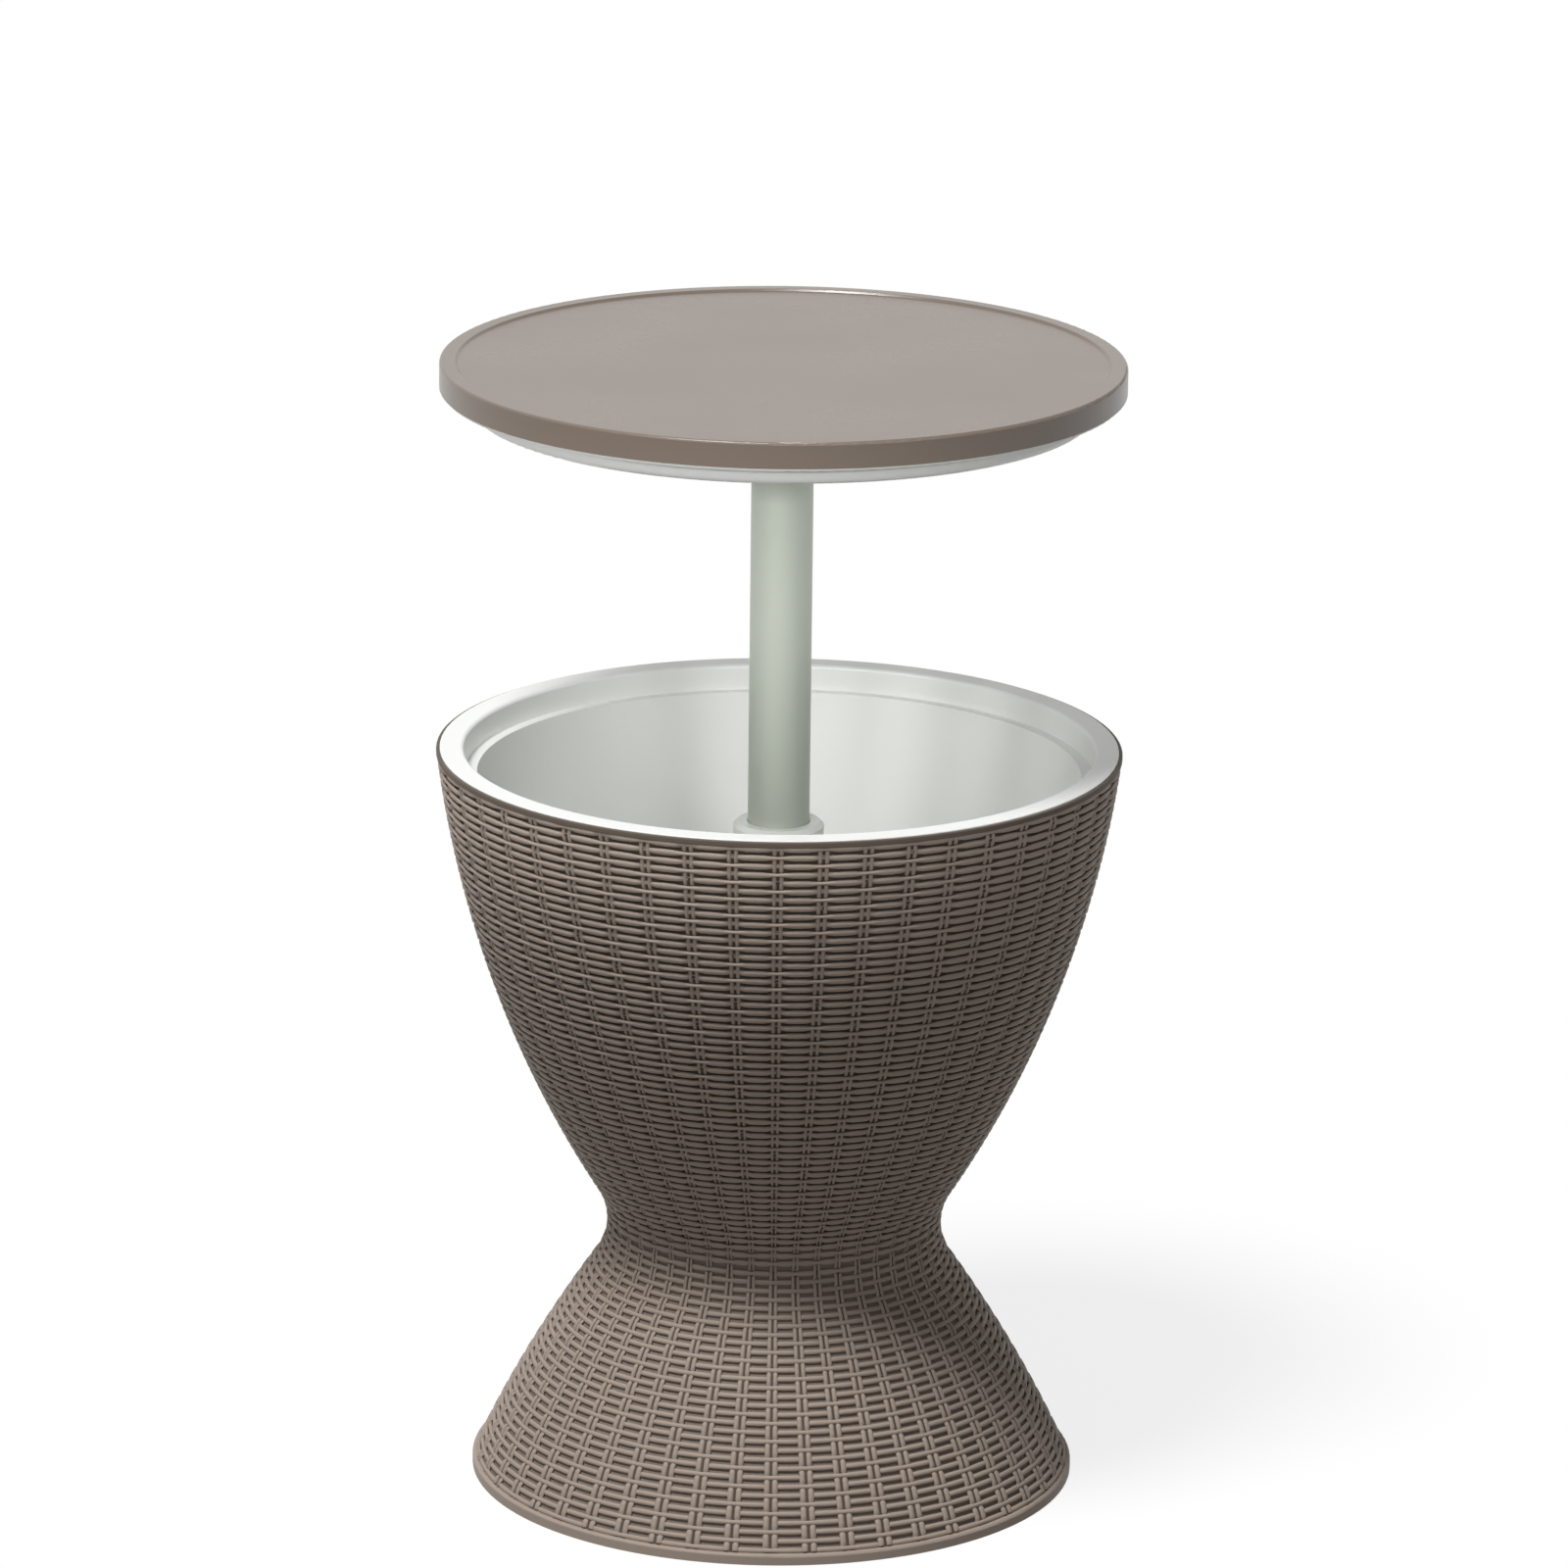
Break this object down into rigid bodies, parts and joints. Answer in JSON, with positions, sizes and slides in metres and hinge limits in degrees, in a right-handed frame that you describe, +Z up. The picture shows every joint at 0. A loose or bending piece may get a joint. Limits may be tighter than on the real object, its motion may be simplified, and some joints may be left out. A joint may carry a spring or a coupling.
{
  "type": "bar table with ice bucket",
  "caption": "Round patio bar table whose top rises on a telescoping pole out of a woven-pattern ice bucket on a flared foot.",
  "frame": {"origin": "on the floor under the centre of the foot, with the tabletop raised", "axes": "+Z up along the pole, -Y towards the front, where the drain lies in the liner floor"},
  "size_m": [0.4989, 0.499, 0.838],
  "materials": {
    "woven_plastic": "taupe moulded plastic with a woven pattern",
    "table_plastic": "taupe moulded plastic, fine satin grain",
    "white_plastic": "white moulded plastic, smooth",
    "pole_aluminium": "satin anodised",
    "dark_nylon": "moulded nylon",
    "grey_plastic": "moulded plastic",
    "steel": "zinc plated",
    "rubber": "moulded rubber"
  },
  "bodies": {
    "stand": {"base_skirt": "woven_plastic", "bucket_shell": "woven_plastic", "ice_liner": "white_plastic", "waist_screws": "steel", "guide_tube": "pole_aluminium", "guide_flange": "dark_nylon", "guide_screws": "steel", "guide_pins": "steel", "guide_bush": "dark_nylon", "column_cap": "white_plastic", "wiper_ring": "rubber", "drain_fitting": "white_plastic", "drain_gasket": "rubber", "drain_nut": "white_plastic"},
    "collar": {"lock_collar": "dark_nylon"},
    "cone": {"expander_cone": "dark_nylon"},
    "top": {"pole": "pole_aluminium", "pole_end_plug": "dark_nylon", "plug_pins": "steel", "lock_stud": "steel", "stud_nut": "steel", "lid_deck": "table_plastic", "lid_underside": "white_plastic", "lid_screws": "steel", "pole_socket": "grey_plastic", "socket_screws": "steel", "pole_bolt": "steel", "pole_bolt_nut": "steel"},
    "stopper": {"drain_plug": "rubber"}
  },
  "joints": [
    {"name": "top_lift", "type": "slide", "parent": "stand", "child": "collar", "axis": [0, 0, 1], "range_m": [-0.2654, 0]},
    {"name": "top_twist", "type": "hinge", "parent": "collar", "child": "top", "pos_m": [0, 0, 0.3], "axis": [0, 0, 1], "range_deg": [0, 120]},
    {"name": "cone_draw", "type": "slide", "parent": "collar", "child": "cone", "axis": [0, 0, 1], "range_m": [-0.002, 0]},
    {"name": "plug_pull", "type": "slide", "parent": "stand", "child": "stopper", "axis": [0, 0, 1], "range_m": [0, 0.06]}
  ],
  "couplings": [
    {"joint": "cone_draw", "follows": "top_twist", "m_per_rad": -0.00095493}
  ]
}
